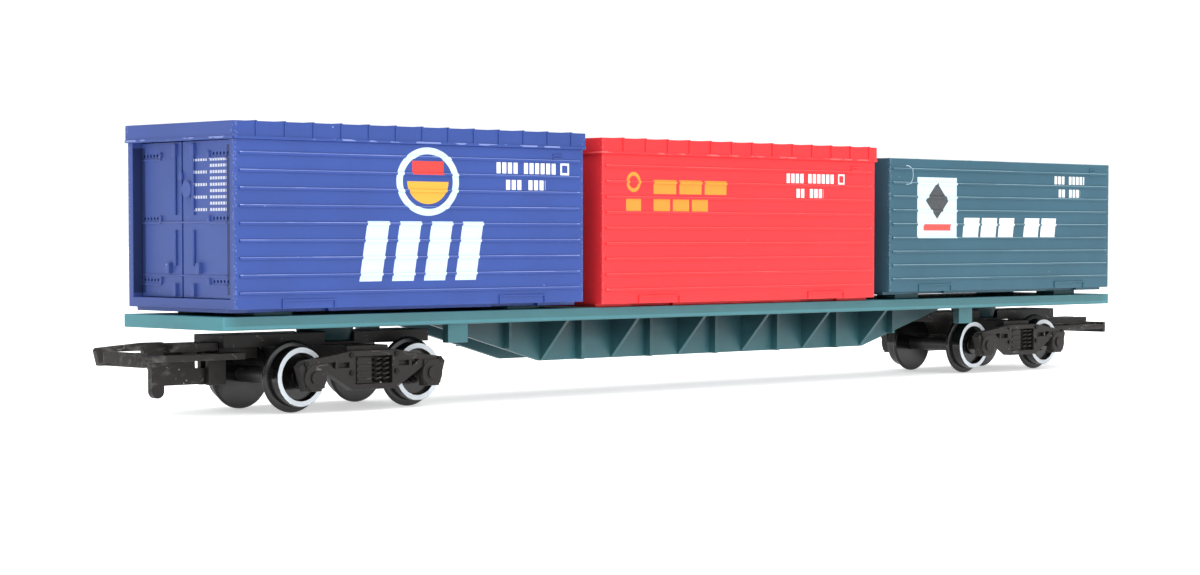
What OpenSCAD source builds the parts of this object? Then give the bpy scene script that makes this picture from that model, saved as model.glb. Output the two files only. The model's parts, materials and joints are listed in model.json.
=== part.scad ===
// Model railway flat wagon on two bogies, carrying three containers.
// +X along the wagon, +Z up, origin on the rail plane under the middle of the deck.
// End "a" is the -X end and end "b" the +X end; "near" is the -Y side and "far" the +Y side.

/* [Deck] */
// Length of the deck
deck_l = 252; // [252:1:300]
// Width of the deck
deck_w = 29; // [28:0.5:34]
// Height of the deck's top face above the rail
deck_top = 17; // [16.8:0.1:20]
// Thickness of the deck plate
deck_plate_t = 1.4; // [1:0.1:2]
// Depth of the strip that runs round the deck's edge
deck_rim_h = 2.3; // [1.8:0.1:2.8]
// Thickness of that strip
deck_rim_t = 1.2; // [0.8:0.1:2]

/* [Centre girder] */
// Distance between the inner faces of the two webs
web_gap = 10; // [9.6:0.2:12]
// Thickness of a web
web_t = 1; // [0.6:0.1:1.6]
// Height of the girder's bottom edge above the rail
girder_z = 6.9; // [6:0.1:9]
// Length of the girder's level bottom edge
girder_flat_l = 94; // [70:1:100]
// Length of the girder where it meets the deck's rim
girder_top_l = 150; // [130:1:151]
// Distance between neighbouring ribs and gussets
rib_pitch = 18.6; // [15:0.1:19]
// Thickness of a rib or a gusset
rib_t = 0.8; // [0.5:0.1:1.4]
// How far a rib stands out from its web
rib_out = 1.6; // [0.8:0.1:2.4]
// Distance between the two stop blocks under one edge of the deck
stop_pitch = 147.4; // [140:0.2:148]
// Length, width and height of a stop block
stop_size = [4.7, 1.6, 3.4]; // [1:0.1:6]

/* [Containers] */
// Length of a container's body
box_l = 79.6; // [70:0.2:82]
// Width of a container's body between its rib faces
box_w = 30.9; // [28:0.1:36]
// Height of a container's body without its lid
box_h = 28.3; // [26:0.1:34]
// Distance between neighbouring container centres
box_pitch = 84.5; // [83:0.1:86]
// Thickness of a container's walls and floor
box_t = 1.2; // [0.8:0.1:1.6]
// Number of rails along each side of a container
rail_count = 9; // [3:1:9]
// Distance between neighbouring rails
rail_pitch = 2.92; // [2:0.02:3]
// Height of the lowest rail above the container's bottom
rail_first = 2.65; // [2.2:0.05:3]
// Height of a rail
rail_h = 0.5; // [0.3:0.1:0.8]
// How far a rail stands out
rail_out = 0.25; // [0.1:0.05:0.5]
// Height of the plinth under a container
foot_h = 0.6; // [0.4:0.1:1.2]
// Inset of the plinth from a container's side
foot_inset = 2.0; // [1:0.1:3]
// Depth of the door panel's face behind the end of the container
door_recess = 0.3; // [0.1:0.1:2]
// How far the far side of the first container's door panel has been pushed in
door_push = 1.6; // [0:0.1:2.5]
// Thickness of the door panel
door_t = 1; // [0.8:0.1:1.6]
// Width of the corner posts beside the doors
post_w = 1.3; // [1.3:0.1:3]
// Height of the sill under the doors
sill_h = 1.7; // [1.3:0.1:3]
// Height of a lid
lid_h = 3; // [2.4:0.1:4]
// How far a lid stands out past the container's body
lid_out = 0.3; // [0.1:0.05:0.6]
// Number of bows across a lid
bow_count = 13; // [5:2:13]
// Distance between neighbouring bows
bow_pitch = 6; // [4:0.1:6]
// Offset of the bows from the middle of each lid, towards end b
bow_shift = [0.5, 1.6]; // [0:0.1:2]
// Packing under the containers, from end a to end b
seat_h = [0.6, 0, 1]; // [0:0.1:1.5]

/* [Bogies] */
// Distance between the two bogie pivots
pivot_pitch = 187.2; // [185:0.2:192]
// Distance between a bogie's two axles
wheelbase = 26; // [26:0.2:28]
// Width over the side frames
bogie_w = 28; // [27:0.2:30]
// Thickness of a side frame
side_t = 1.8; // [1.2:0.1:2.4]
// Width of the bogie's centre beam
beam_w = 8.7; // [7:0.1:9.4]
// Height of the centre beam's top above the rail
beam_top = 13.6; // [13:0.1:13.8]
// Thickness of the centre beam
beam_t = 2.2; // [1.6:0.1:2.4]
// Reach of the centre beam inwards and outwards from the pivot
beam_reach = [20.5, 25]; // [15:0.5:26]
// Radius of the pivot pin
pivot_r = 1.8; // [1.2:0.1:2.4]
// Swivel boss: radius at its foot and at the deck
boss_r = [4.5, 5.3]; // [3:0.1:6]
// Height of the boss's foot above the rail
boss_z = 12; // [11.8:0.1:12.2]

/* [Wheels] */
// Radius over the flange
flange_r = 6.25; // [5.5:0.05:6.4]
// Radius of the tread
tread_r = 5.15; // [4.6:0.05:5.3]
// Distance between the back faces of a wheel pair
back_to_back = 14; // [13:0.1:14.6]
// Width of a wheel from its back face to its outer face
wheel_w = 3.3; // [2.4:0.1:3.6]
// Width of the flange
flange_w = 1; // [0.6:0.1:1.2]
// Radius of the axle
axle_r = 1; // [0.7:0.05:1.2]
// Radius of the sleeve between the wheels
sleeve_r = 1.5; // [1.2:0.05:1.8]

/* [Couplings] */
// Distance of the coupling bar's face from the bogie pivot
bar_reach = 42.8; // [40:0.2:44]
// Width of the coupling bar
bar_w = 13; // [12:0.2:18]
// Bottom and top of the coupling bar above the rail
bar_z = [8.7, 11.1]; // [8:0.1:11.2]
// How far the coupling at end a and at end b hangs below that height
bar_drop = [0, 1.1]; // [0:0.1:1.4]
// Reach of the carrier's top plate from the bogie pivot, at end a and at end b
plate_reach = [34.4, 40.1]; // [33:0.1:41]
// Thickness of the coupling bar
bar_t = 1; // [0.8:0.1:1.4]
// Distance of the hook's pivot from the bogie pivot
hook_pivot_x = 24.6; // [24:0.1:25]
// Height of the hook's pivot above the rail
hook_pivot_z = 6.6; // [6.4:0.1:6.8]
// Distance of the hook's tip from the bogie pivot
hook_reach = 47.9; // [47.4:0.1:50]
// Thickness of the hook plate
hook_t = 1.2; // [0.8:0.1:1.6]
// Radius of the hook's pin
hook_pin_r = 0.6; // [0.5:0.05:0.7]

/* [Fits] */
// Radial running clearance of axles and pins
run_c = 0.05; // [0.02:0.01:0.1]
// Gap between pieces that fit together
fit_c = 0.1; // [0.05:0.05:0.2]

/* [Hidden] */
$fn = 48;
eps = 0.01;
ends = ["a", "b"];
sides = ["near", "far"];
colours = ["blue", "red", "green"];
lidded = ["blue", "red"];
paints = [[0.24, 0.32, 0.65], [0.92, 0.18, 0.20], [0.30, 0.45, 0.53]];
teal = [0.35, 0.61, 0.65];
dark = [0.29, 0.28, 0.27];
black = [0.08, 0.08, 0.08];

rim_z = deck_top - deck_rim_h;
plate_z = deck_top - deck_plate_t;
web_y = web_gap / 2 + web_t / 2;
rib_n = floor((girder_top_l / 2 - deck_rim_h) / rib_pitch);
gusset_xs = [for (i = [-2.5:1:2.5]) i * rib_pitch];
rib_xs = [for (i = [-rib_n:1:rib_n]) i * rib_pitch];
side_y = bogie_w / 2 - side_t;
beam_z = beam_top - beam_t;
cross_z = 7.8;
cross_w = 9.2;
axle_z = flange_r;
axle_end_y = side_y + 0.7;
bearing_depth = 0.8;
pocket_x = [18.7, 30.1];
window_x = 4.1;
window_z = [4.8, 9.6];
hook_raise_c = 0.15;
post_l = 3.4;
carrier_x = beam_reach[1] - 8;

// ---- helpers ----

// A box from its low corner to its high corner
module span(low, high) {
    translate(low) cube(high - low);
}

// Places a bogie's own frame: its +X points outwards along the wagon
module at_bogie(e) {
    dir = e == "a" ? 180 : 0;
    translate([(e == "a" ? -1 : 1) * pivot_pitch / 2, 0, 0]) rotate([0, 0, dir]) children();
}

// +1 or -1: the side's direction in a bogie's own frame
function local_side(e, s) = (s == "far" ? 1 : -1) * (e == "a" ? -1 : 1);

// A plate in the XZ plane, centred on y
module plate_xz(y, t) {
    translate([0, y + t / 2, 0]) rotate([90, 0, 0]) linear_extrude(t) children();
}

// A round bar along Y, centred on y
module bar_y(x, y, z, r, l) {
    translate([x, y, z]) rotate([90, 0, 0]) cylinder(r = r, h = l, center = true);
}

// ---- wagon ----

module deck() {
    color(teal) difference() {
        span([-deck_l / 2, -deck_w / 2, rim_z], [deck_l / 2, deck_w / 2, deck_top]);
        span(
            [-deck_l / 2 + deck_rim_t, -deck_w / 2 + deck_rim_t, rim_z - 1],
            [deck_l / 2 - deck_rim_t, deck_w / 2 - deck_rim_t, plate_z]
        );
    }
}

// One web of the centre girder with its ribs and the gussets out to the deck's rim
module girder(s) {
    dir = s == "far" ? 1 : -1;
    slope = (rim_z - girder_z) / ((girder_top_l - girder_flat_l) / 2);
    rim_y = deck_w / 2 - deck_rim_t;
    color(teal) union() {
        plate_xz(dir * web_y, web_t) polygon([
            [-girder_flat_l / 2, girder_z],
            [girder_flat_l / 2, girder_z],
            [girder_top_l / 2, rim_z],
            [girder_top_l / 2, plate_z],
            [-girder_top_l / 2, plate_z],
            [-girder_top_l / 2, rim_z],
        ]);
        for (x = rib_xs) {
            bottom = max(girder_z, girder_z + (abs(x) + rib_t / 2 - girder_flat_l / 2) * slope);
            y0 = dir * web_y;
            y1 = dir * (web_y + web_t / 2 + rib_out);
            span([x - rib_t / 2, min(y0, y1), bottom], [x + rib_t / 2, max(y0, y1), plate_z]);
        }
        for (x = gusset_xs) {
            translate([x - rib_t / 2, 0, 0]) rotate([90, 0, 90]) linear_extrude(rib_t) polygon([
                [dir * web_y, girder_z],
                [dir * (web_y + web_t / 2), girder_z],
                [dir * rim_y, rim_z],
                [dir * rim_y, plate_z],
                [dir * web_y, plate_z],
            ]);
        }
    }
}

// Blocks under the deck that stop the bogies
module stop_blocks() {
    y1 = deck_w / 2 - deck_rim_t - eps;
    color(teal) for (x = [-1, 1], y = [-1, 1]) {
        translate([x * stop_pitch / 2, y * (y1 - stop_size[1] / 2), 0]) span(
            [-stop_size[0] / 2, -stop_size[1] / 2, rim_z - stop_size[2]],
            [stop_size[0] / 2, stop_size[1] / 2, plate_z]
        );
    }
}

// Low packing pads between the deck and the containers that sit high
module seat_pads() {
    pad = [8, 5];
    color(teal) for (i = [0:2]) if (seat_h[i] > 0) {
        for (x = [-0.36, 0.36] * box_l, y = [-0.28, 0.28] * box_w) {
            translate([(i - 1) * box_pitch + x, y, deck_top]) span(
                [-pad[0] / 2, -pad[1] / 2, 0],
                [pad[0] / 2, pad[1] / 2, seat_h[i]]
            );
        }
    }
}

// Tapered boss that stands on a bogie's centre beam
module swivel_boss(e) {
    color(teal) at_bogie(e) difference() {
        union() {
            translate([0, 0, boss_z]) cylinder(r1 = boss_r[0], r2 = boss_r[1], h = rim_z - boss_z);
            translate([0, 0, rim_z]) cylinder(r = boss_r[1], h = plate_z - rim_z);
        }
        translate([0, 0, boss_z - 1]) cylinder(r = pivot_r, h = 3);
    }
}

// Pin that holds a bogie, with its head under the cross beam
module pivot_pin(e) {
    head_r = 3;
    head_t = 0.8;
    color(dark) at_bogie(e) union() {
        translate([0, 0, cross_z - fit_c]) cylinder(r = pivot_r, h = boss_z + 2 - cross_z + fit_c);
        translate([0, 0, cross_z - fit_c - head_t]) cylinder(r = head_r, h = head_t);
    }
}

// ---- containers ----

function box_index(c) = search([c], colours)[0];
function box_z(c) = deck_top + seat_h[box_index(c)] + foot_h;
function door_dir(c) = c == "blue" ? -1 : 1;
function door_push(c) = c == "blue" ? door_push : 0;

// Places a container's own frame: floor level at zero, doors towards -X
module at_box(c) {
    translate([(box_index(c) - 1) * box_pitch, 0, box_z(c)]) rotate([0, 0, door_dir(c) < 0 ? 0 : 180])
        children();
}

module fork_pocket(x, y) {
    line = 0.35;
    top = 1.6;
    l = pocket_x[1] - pocket_x[0];
    translate([x, y, 0]) difference() {
        span([-l / 2, -rail_out, 0], [l / 2, rail_out, top]);
        span([-l / 2 + line, -1, -1], [l / 2 - line, 1, top - line]);
    }
}

module container(c) {
    half = [box_l / 2, box_w / 2];
    vent = [2.4, 0.25, 0.3];
    vent_x = 6.6;
    vent_z = box_h - 1.2;
    vent_pitch = 0.65;
    mid = (pocket_x[0] + pocket_x[1]) / 2;
    pocket_l = pocket_x[1] - pocket_x[0];
    foot_end = 0.3;
    pocket_depth = 0.8;
    color(paints[box_index(c)]) at_box(c) union() {
        difference() {
            union() {
                span([-half[0], -half[1], 0], [half[0], half[1], box_h]);
                span(
                    [-half[0] + foot_end, -half[1] + foot_inset, -foot_h],
                    [half[0] - foot_end, half[1] - foot_inset, eps]
                );
            }
            span(
                [-half[0] + post_l, -half[1] + box_t, box_t],
                [half[0] - box_t, half[1] - box_t, box_h + 1]
            );
            span(
                [-half[0] - 1, -half[1] + post_w, sill_h],
                [-half[0] + 2 * post_l, half[1] - post_w, box_h + 1]
            );
            for (x = [-mid, mid], y = [-1, 1]) {
                translate([x, y * (half[1] - foot_inset), 0]) span(
                    [-pocket_l / 2, -pocket_depth, -foot_h - 1],
                    [pocket_l / 2, pocket_depth, 0]
                );
            }
        }
        for (y = [-1, 1], i = [0:rail_count - 1]) {
            translate([0, y * half[1], rail_first + i * rail_pitch]) span(
                [-half[0] + 1, -rail_out, -rail_h / 2],
                [half[0] - 1, rail_out, rail_h / 2]
            );
        }
        for (x = [-mid, mid], y = [-1, 1]) fork_pocket(x, y * half[1]);
        for (x = [-1, 1], i = [0:2]) {
            translate([x * (half[0] - vent_x), -x * half[1], vent_z - i * vent_pitch]) span(
                [-vent[0] / 2, -vent[1], -vent[2] / 2],
                [vent[0] / 2, vent[1], vent[2] / 2]
            );
        }
    }
}

// Door panel between the corner posts: seam, hinge straps, lock rods, cam and handles
module doors(c) {
    w = box_w / 2 - post_w - fit_c;
    h = box_h - sill_h - 2 * fit_c;
    turn = asin(door_push(c) / (2 * w));
    rod = [2.9, 0.3];
    rod_z = [[5.4, 11.4], [14, 25]];
    strap = [6.4, 0.2];
    strap_z = [2.85, 13.4, 24.2];
    strap_lug = [0.4, 0.7, 1];
    strap_drop = [0.9, 0.55];
    dot = [0.3, 1.05, 0.9];
    ledge_z = [3.6, 12.6];
    ledge = [0.15, 0.3];
    seam = [0.9, 0.5, 0.6];
    cam = [-1.5, 18.3, 1.4, 0.8];
    key = [0.5, 1, 1.6, 2.9];
    keeper_z = [[0.2, 2.4], [h - 2.4, h - 0.4]];
    keeper = [0.6, 1, 1.2];
    latch = [4.8, 5, 1.2, 0.8, 1.8];
    color(paints[box_index(c)]) at_box(c)
        translate([-box_l / 2 + door_recess, -w, sill_h + fit_c]) rotate([0, 0, -turn]) translate([0, w, 0])
        union() {
            difference() {
                span([0, -w, 0], [door_t, w, h]);
                span([-1, seam[0] - seam[1] / 2, -1], [seam[2], seam[0] + seam[1] / 2, h + 1]);
                for (y = [-1, 1], z = strap_z, i = [0:4]) {
                    translate([0, y * (w - dot[2] - i * dot[1]), z]) rotate([0, 90, 0])
                        cylinder(r = dot[0], h = 1, center = true);
                }
            }
            for (z = ledge_z) span([-ledge[0], -w, z], [eps, w, z + ledge[1]]);
            for (y = [-1, 1], z = strap_z) {
                span(
                    [-strap[1], y * w - (y > 0 ? strap[0] : 0), z - strap_drop[0]],
                    [eps, y * w + (y > 0 ? 0 : strap[0]), z - strap_drop[1]]
                );
                translate([0, y * (w - strap[0]), z]) span(
                    [-strap_lug[0], -strap_lug[1] / 2, -strap_lug[2] / 2],
                    [eps, strap_lug[1] / 2, strap_lug[2] / 2]
                );
            }
            for (y = [-1, 1] * rod[0]) {
                for (z = rod_z) translate([-0.25, y, z[0]]) cylinder(r = rod[1], h = z[1] - z[0]);
                for (i = [0, 1]) {
                    span(
                        [-keeper[0], y - keeper[i + 1] / 2, keeper_z[i][0]],
                        [eps, y + keeper[i + 1] / 2, keeper_z[i][1]]
                    );
                }
            }
            for (y = [-1, 1] * latch[0]) {
                span(
                    [-latch[3], y - latch[2] / 2, latch[1] - latch[4] / 2],
                    [eps, y + latch[2] / 2, latch[1] + latch[4] / 2]
                );
            }
            translate([-cam[3] / 2, cam[0], cam[1]]) rotate([0, 90, 0])
                cylinder(r = cam[2], h = cam[3] + eps, center = true);
            span(
                [-key[0], seam[0] - key[1] / 2, cam[1] + key[2]],
                [eps, seam[0] + key[1] / 2, cam[1] + key[3]]
            );
        }
}

// Lid with a skirt, a locating lip inside the body and bows over the top
module lid(c) {
    half = [box_l / 2 + lid_out, box_w / 2 + lid_out];
    inner = [box_l / 2 - box_t, box_w / 2 - box_t];
    lip = [0.8, 1.2];
    shift = -door_dir(c) * bow_shift[box_index(c)];
    bow = [0.35, 0.15];
    edge = [0.15, 0.5];
    color(paints[box_index(c)]) at_box(c) translate([0, 0, box_h]) union() {
        difference() {
            span([-half[0], -half[1], 0], [half[0], half[1], lid_h]);
            span([-inner[0], -inner[1], -1], [inner[0], inner[1], lid_h - box_t]);
        }
        for (y = [-1, 1]) {
            translate([0, y * (inner[1] - fit_c - lip[0] / 2), 0]) span(
                [-inner[0] + post_l, -lip[0] / 2, -lip[1]],
                [inner[0] - 1, lip[0] / 2, lid_h - box_t + eps]
            );
            translate([0, y * half[1], 0]) span([-half[0], -edge[0], 0], [half[0], edge[0], edge[1]]);
        }
        for (x = [-1, 1]) {
            translate([x * half[0], 0, 0]) span([-edge[0], -half[1], 0], [edge[0], half[1], edge[1]]);
        }
        for (i = [0:bow_count - 1]) {
            translate([(i - (bow_count - 1) / 2) * bow_pitch + shift, 0, 0]) span(
                [-bow[0] / 2, -half[1] - bow[1], edge[1] - eps],
                [bow[0] / 2, half[1] + bow[1], lid_h + bow[1]]
            );
        }
    }
}

// ---- bogies ----

// Centre beam with the cross beam between the side frames
module bogie_frame(e) {
    recess_r = boss_r[1] + fit_c;
    color(dark) at_bogie(e) difference() {
        union() {
            span([-beam_reach[0], -beam_w / 2, beam_z], [beam_reach[1], beam_w / 2, beam_top]);
            span([-cross_w / 2, -side_y, cross_z], [cross_w / 2, side_y, beam_z + eps]);
            span([-cross_w / 2, -beam_w / 2, cross_z], [cross_w / 2, beam_w / 2, boss_z - fit_c]);
        }
        translate([0, 0, boss_z - fit_c]) cylinder(r = recess_r, h = beam_t);
        translate([0, 0, cross_z - 1]) cylinder(r = pivot_r + run_c, h = boss_z);
    }
}

// Side frame: outline, window over the springs, lightening holes, axle boxes and bolts
module side_frame(e, s) {
    dir = local_side(e, s);
    half = wheelbase / 2;
    outline = [
        [0, 10.6],
        [5, 10.6],
        [half - 2.9, 9.8],
        [half + 2.2, 9.1],
        [half + 3.2, 8.2],
        [half + 1.8, 3.9],
        [half - 1.4, 3.9],
        [half - 1.7, 7.6],
        [4.8, 3.8],
        [0, 3.8],
    ];
    cap_r = [2.3, 1.1];
    cap_l = [0.8, 1.4];
    box = [1.9, 4.4, 8.6, 0.3];
    bolt = [0.45, 0.5];
    bolt_x = 5;
    bolt_z = [9.9, 6.8];
    end_bolt = [half + 1.9, 8.7];
    cut_l = 1.4;
    corner_cut = [[8.4, 8.8], [10.2, 8.7], [8.6, 7.6]];
    slot = [2.4, 0.9];
    slot_at = [6.7, 8.2];
    n = len(outline);
    whole = concat(outline, [for (i = [n - 2:-1:1]) [-outline[i][0], outline[i][1]]]);
    y_out = dir * bogie_w / 2;
    color(dark) at_bogie(e) difference() {
        union() {
            plate_xz(dir * (side_y + side_t / 2), side_t) polygon(whole);
            for (x = [-half, half]) {
                for (i = [0, 1]) bar_y(x, y_out, axle_z, cap_r[i], cap_l[i]);
                span(
                    [x - box[0], min(y_out, y_out + dir * box[3]), box[1]],
                    [x + box[0], max(y_out, y_out + dir * box[3]), box[2]]
                );
            }
            for (x = [-bolt_x, bolt_x], z = bolt_z) bar_y(x, y_out, z, bolt[0], bolt[1]);
            for (x = [-1, 1]) bar_y(x * end_bolt[0], y_out, end_bolt[1], bolt[0], bolt[1]);
        }
        span([-window_x, -bogie_w, window_z[0]], [window_x, bogie_w, window_z[1]]);
        for (x = [-1, 1]) {
            plate_xz(y_out, cut_l) polygon([for (p = corner_cut) [x * p[0], p[1]]]);
            translate([x * slot_at[0], y_out, slot_at[1]]) span(
                [-slot[0] / 2, -cut_l / 2, -slot[1] / 2],
                [slot[0] / 2, cut_l / 2, slot[1] / 2]
            );
        }
        for (x = [-half, half]) {
            bar_y(x, dir * (side_y + bearing_depth / 2 - eps), axle_z, axle_r + run_c, bearing_depth);
        }
    }
}

// Coil springs and the ribbed block in a side frame's window
module springs(e, s) {
    dir = local_side(e, s);
    y = dir * (side_y + side_t / 2);
    z0 = window_z[0];
    z1 = window_z[1];
    coil = [side_t / 2 - 0.3, side_t / 2 - 0.05];
    coil_x = [1.3, 3.1];
    block = [[-3.7, -0.2], [side_t / 2 - 0.3, side_t / 2 - 0.1]];
    leaf = 1.1;
    turns = 5;
    step = (z1 - z0) / turns;
    color(dark) at_bogie(e) union() {
        for (x = coil_x) translate([-dir * x, y, z0]) rotate_extrude($fn = 32) polygon(concat(
            [[0, 0]],
            [for (i = [0:turns - 1]) for (p = [[coil[0], i + 0.1], [coil[1], i + 0.5]]) [p[0], p[1] * step]],
            [[coil[0], z1 - z0], [0, z1 - z0]]
        ));
        translate([-dir * (block[0][0] + block[0][1]) / 2, y, 0]) {
            l = (block[0][1] - block[0][0]) / 2;
            span([-l, -block[1][0], z0], [l, block[1][0], z1]);
            for (i = [0:3]) {
                span([-l, -block[1][1], z0 + (i + 0.5) * leaf], [l, block[1][1], z0 + (i + 0.95) * leaf]);
            }
        }
    }
}

// Coupling carrier under the centre beam: block, top plate, arms to the bar, and hook lugs
module coupling(e) {
    drop = bar_drop[e == "a" ? 0 : 1];
    arm_y = bar_w / 2 - 0.6;
    arm_w = 1.2;
    arm_z = [9.5 - drop, 10.6 - drop];
    plate_top = [10.9 - drop, 12.3 - drop];
    plate_x = [beam_reach[1] + 0.1, plate_reach[e == "a" ? 0 : 1]];
    plate_y = 3;
    lug_y = hook_t / 2 + fit_c;
    lug_t = 1;
    lug_x = [carrier_x + 5.6, hook_pivot_x + 1.6];
    lug_h = 1.6;
    root = [3, 2];
    slot_end = 0.6;
    color(dark) at_bogie(e) difference() {
        union() {
            span([carrier_x, -plate_y, arm_z[0]], [beam_reach[1], plate_y, beam_z]);
            span([plate_x[0], -plate_y, plate_top[0]], [plate_x[1], plate_y, plate_top[1]]);
            span([beam_reach[1] - root[0], -arm_y, arm_z[0]], [beam_reach[1] + root[1], arm_y, arm_z[1]]);
            span(
                [bar_reach - bar_t, -bar_w / 2, bar_z[0] - drop],
                [bar_reach, bar_w / 2, bar_z[1] - drop]
            );
            for (y = [-1, 1]) {
                translate([0, y * arm_y, 0]) span(
                    [beam_reach[1] - root[0], -arm_w / 2, arm_z[0]],
                    [bar_reach - eps, arm_w / 2, arm_z[1]]
                );
                translate([0, y * (lug_y + lug_t / 2), 0]) span(
                    [lug_x[0], -lug_t / 2, hook_pivot_z - lug_h],
                    [lug_x[1], lug_t / 2, arm_z[0] + 0.3]
                );
            }
        }
        span(
            [lug_x[0] + slot_end, -lug_y, hook_pivot_z - lug_h - 1],
            [bar_reach - bar_t - 1, lug_y, plate_top[1] + 1]
        );
        bar_y(hook_pivot_x, 0, hook_pivot_z, hook_pin_r, 2 * (lug_y + lug_t) + 1);
    }
}

// Hook plate at end a: low shank, dropper with a round end, upright, arm over the bar and beak
module hook() {
    shank = [5.2, 7.9];
    drop_x = [34.5, 37];
    drop_z = 3.1;
    drop_r = (drop_x[1] - drop_x[0]) / 2;
    arm_z = bar_z[1] + hook_raise_c;
    arm_top = 12.6;
    web = [28.2, 9.6];
    barb = [bar_reach + 3.7, bar_reach + 2.2];
    barb_z = [9.7, 9.3, 9];
    eye_r = 1.4;
    tip = [hook_reach, 11.6];
    slant = [1.6, 1.5, 2.4];
    color(dark) at_bogie("a") difference() {
        plate_xz(0, hook_t) union() {
            polygon([
                [hook_pivot_x, shank[0]],
                [drop_x[1], shank[0]],
                [drop_x[1], shank[1]],
                [drop_x[1] + slant[0], arm_z],
                [barb[0], arm_z],
                [barb[0], barb_z[0]],
                [barb[1], barb_z[1]],
                [barb[1], barb_z[2]],
                [tip[0] - 0.7, barb_z[2]],
                tip,
                [tip[0] - 0.4, tip[1] + 0.4],
                [drop_x[1] + slant[1], arm_top],
                [drop_x[1] - slant[2], arm_top],
                [drop_x[0], arm_z],
                [drop_x[0], web[1]],
                web,
                [web[0], shank[1]],
                [hook_pivot_x, hook_pivot_z + eye_r],
            ]);
            translate([drop_x[0] + drop_r, drop_z + drop_r]) circle(r = drop_r);
            translate([drop_x[0], drop_z + drop_r]) square([2 * drop_r, shank[0] - drop_z - drop_r + eps]);
            translate([hook_pivot_x, hook_pivot_z]) circle(r = eye_r);
        }
        bar_y(hook_pivot_x, 0, hook_pivot_z, hook_pin_r + run_c, 2 * hook_t);
    }
}

module hook_pin() {
    color(dark) at_bogie("a") bar_y(hook_pivot_x, 0, hook_pivot_z, hook_pin_r, hook_t + 2 * fit_c + 2);
}

// ---- wheels ----

function axle_x(i) = (i == 1 ? 1 : -1) * wheelbase / 2;

module axle(e, i) {
    color(black) at_bogie(e) union() {
        bar_y(axle_x(i), 0, axle_z, axle_r, 2 * axle_end_y);
        bar_y(axle_x(i), 0, axle_z, sleeve_r, back_to_back);
    }
}

// Wheel with a flange, a coned tread and a dished outer face
module wheel(e, i, s) {
    hub_r = 1.9;
    rim_r = tread_r - 1;
    back = back_to_back / 2;
    face = back + wheel_w;
    web = face - 1;
    color(black) at_bogie(e) translate([axle_x(i), 0, axle_z]) rotate([local_side(e, s) * -90, 0, 0])
        rotate_extrude($fn = 96) polygon([
            [axle_r + eps, back],
            [flange_r - 0.25, back],
            [flange_r, back + 0.3],
            [flange_r, back + flange_w - 0.35],
            [flange_r - 0.3, back + flange_w - 0.1],
            [tread_r + 0.1, back + flange_w],
            [tread_r, face],
            [rim_r, face],
            [rim_r - 0.25, web],
            [hub_r + 0.2, web],
            [hub_r, face - 0.2],
            [axle_r + eps, face - 0.2],
        ]);
}

deck();
stop_blocks();
seat_pads();
hook();
hook_pin();
for (s = sides) girder(s);
for (c = colours) container(c);
for (c = colours) doors(c);
for (c = lidded) lid(c);
for (e = ends) {
    swivel_boss(e);
    pivot_pin(e);
    bogie_frame(e);
    coupling(e);
    for (s = sides) {
        side_frame(e, s);
        springs(e, s);
    }
    for (i = [1, 2]) {
        axle(e, i);
        for (s = sides) {
            wheel(e, i, s);
        }
    }
}
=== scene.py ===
import json
import math

import bmesh
import bpy
from mathutils import Matrix, Vector

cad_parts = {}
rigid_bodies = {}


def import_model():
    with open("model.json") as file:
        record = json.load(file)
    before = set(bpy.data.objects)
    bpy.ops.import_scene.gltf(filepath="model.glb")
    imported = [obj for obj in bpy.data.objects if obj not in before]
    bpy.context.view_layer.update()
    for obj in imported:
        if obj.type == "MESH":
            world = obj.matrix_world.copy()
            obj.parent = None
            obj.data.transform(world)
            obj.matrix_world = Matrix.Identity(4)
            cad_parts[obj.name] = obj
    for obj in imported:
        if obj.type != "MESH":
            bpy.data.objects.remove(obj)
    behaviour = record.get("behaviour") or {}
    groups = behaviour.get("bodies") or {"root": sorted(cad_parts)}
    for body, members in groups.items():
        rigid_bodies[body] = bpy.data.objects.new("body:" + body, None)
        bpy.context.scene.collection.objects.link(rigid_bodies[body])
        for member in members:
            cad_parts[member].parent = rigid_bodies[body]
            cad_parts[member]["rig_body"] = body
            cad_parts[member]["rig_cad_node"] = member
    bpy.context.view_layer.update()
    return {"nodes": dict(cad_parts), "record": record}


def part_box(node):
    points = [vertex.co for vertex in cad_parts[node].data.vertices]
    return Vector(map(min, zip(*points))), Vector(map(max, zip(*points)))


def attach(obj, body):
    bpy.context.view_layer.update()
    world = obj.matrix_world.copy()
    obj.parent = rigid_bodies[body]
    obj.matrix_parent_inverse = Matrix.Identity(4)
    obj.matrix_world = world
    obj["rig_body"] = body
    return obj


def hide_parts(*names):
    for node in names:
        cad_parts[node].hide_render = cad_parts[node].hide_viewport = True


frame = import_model()
mm = 0.001
bodyOf = {node: body for body, nodes in frame["record"]["behaviour"]["bodies"].items() for node in nodes}


# handling

def deselectAll():
    if bpy.context.object and bpy.context.object.mode != "OBJECT":
        bpy.ops.object.mode_set(mode="OBJECT")
    bpy.ops.object.select_all(action="DESELECT")


def pick(piece):
    deselectAll()
    piece.select_set(True)
    bpy.context.view_layer.objects.active = piece


def applyModifiers(piece):
    pick(piece)
    for modifier in list(piece.modifiers):
        bpy.ops.object.modifier_apply(modifier=modifier.name)


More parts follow.
